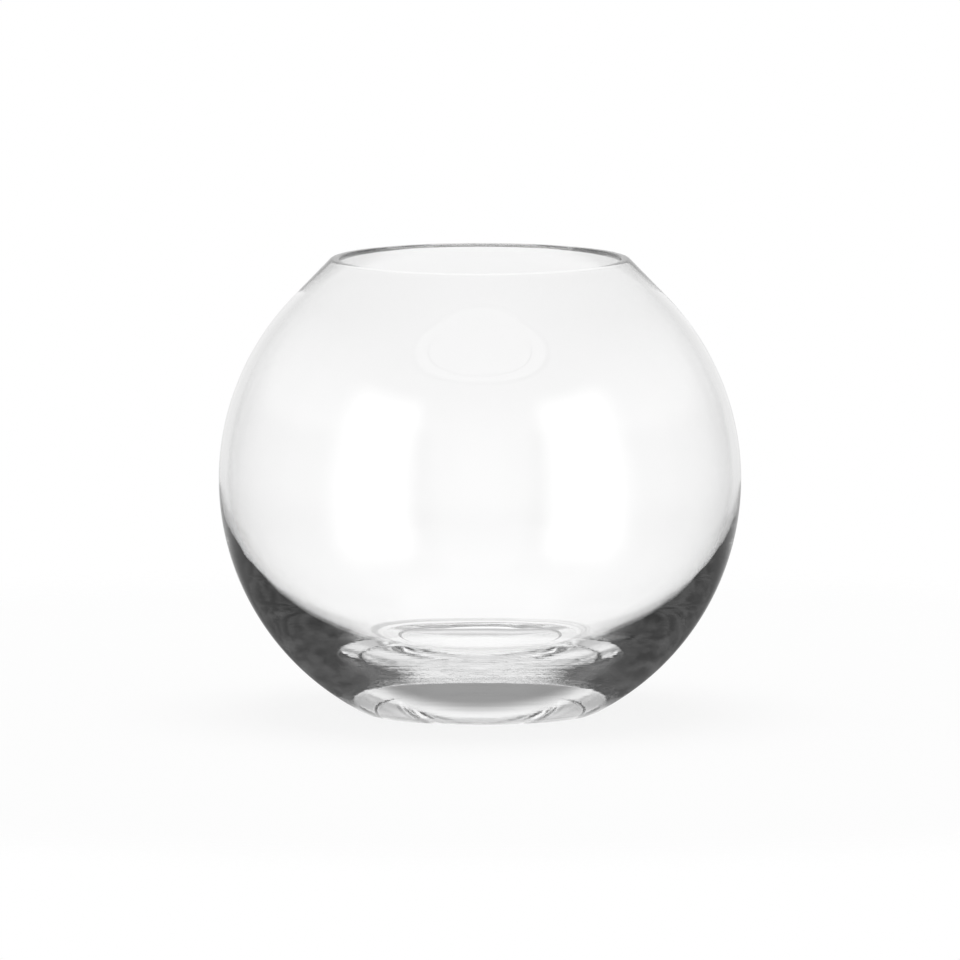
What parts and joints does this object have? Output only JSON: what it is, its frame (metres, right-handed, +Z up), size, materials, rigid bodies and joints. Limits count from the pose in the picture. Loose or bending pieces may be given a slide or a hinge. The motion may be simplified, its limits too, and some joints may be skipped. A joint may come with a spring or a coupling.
{
  "type": "rose bowl vase",
  "caption": "Round clear glass rose bowl vase with a thick flat base and a wide open mouth, for short cut flowers or floating blooms.",
  "frame": {"origin": "middle of the foot, on the plane that the vase stands on", "axes": "+Z up through the mouth; the vase is round about Z, so +X and +Y are free"},
  "size_m": [0.15, 0.15, 0.1308],
  "materials": {
    "clear_glass": "polished clear soda-lime glass"
  },
  "bodies": {
    "root": {"glass_bowl": "clear_glass"}
  },
  "joints": []
}
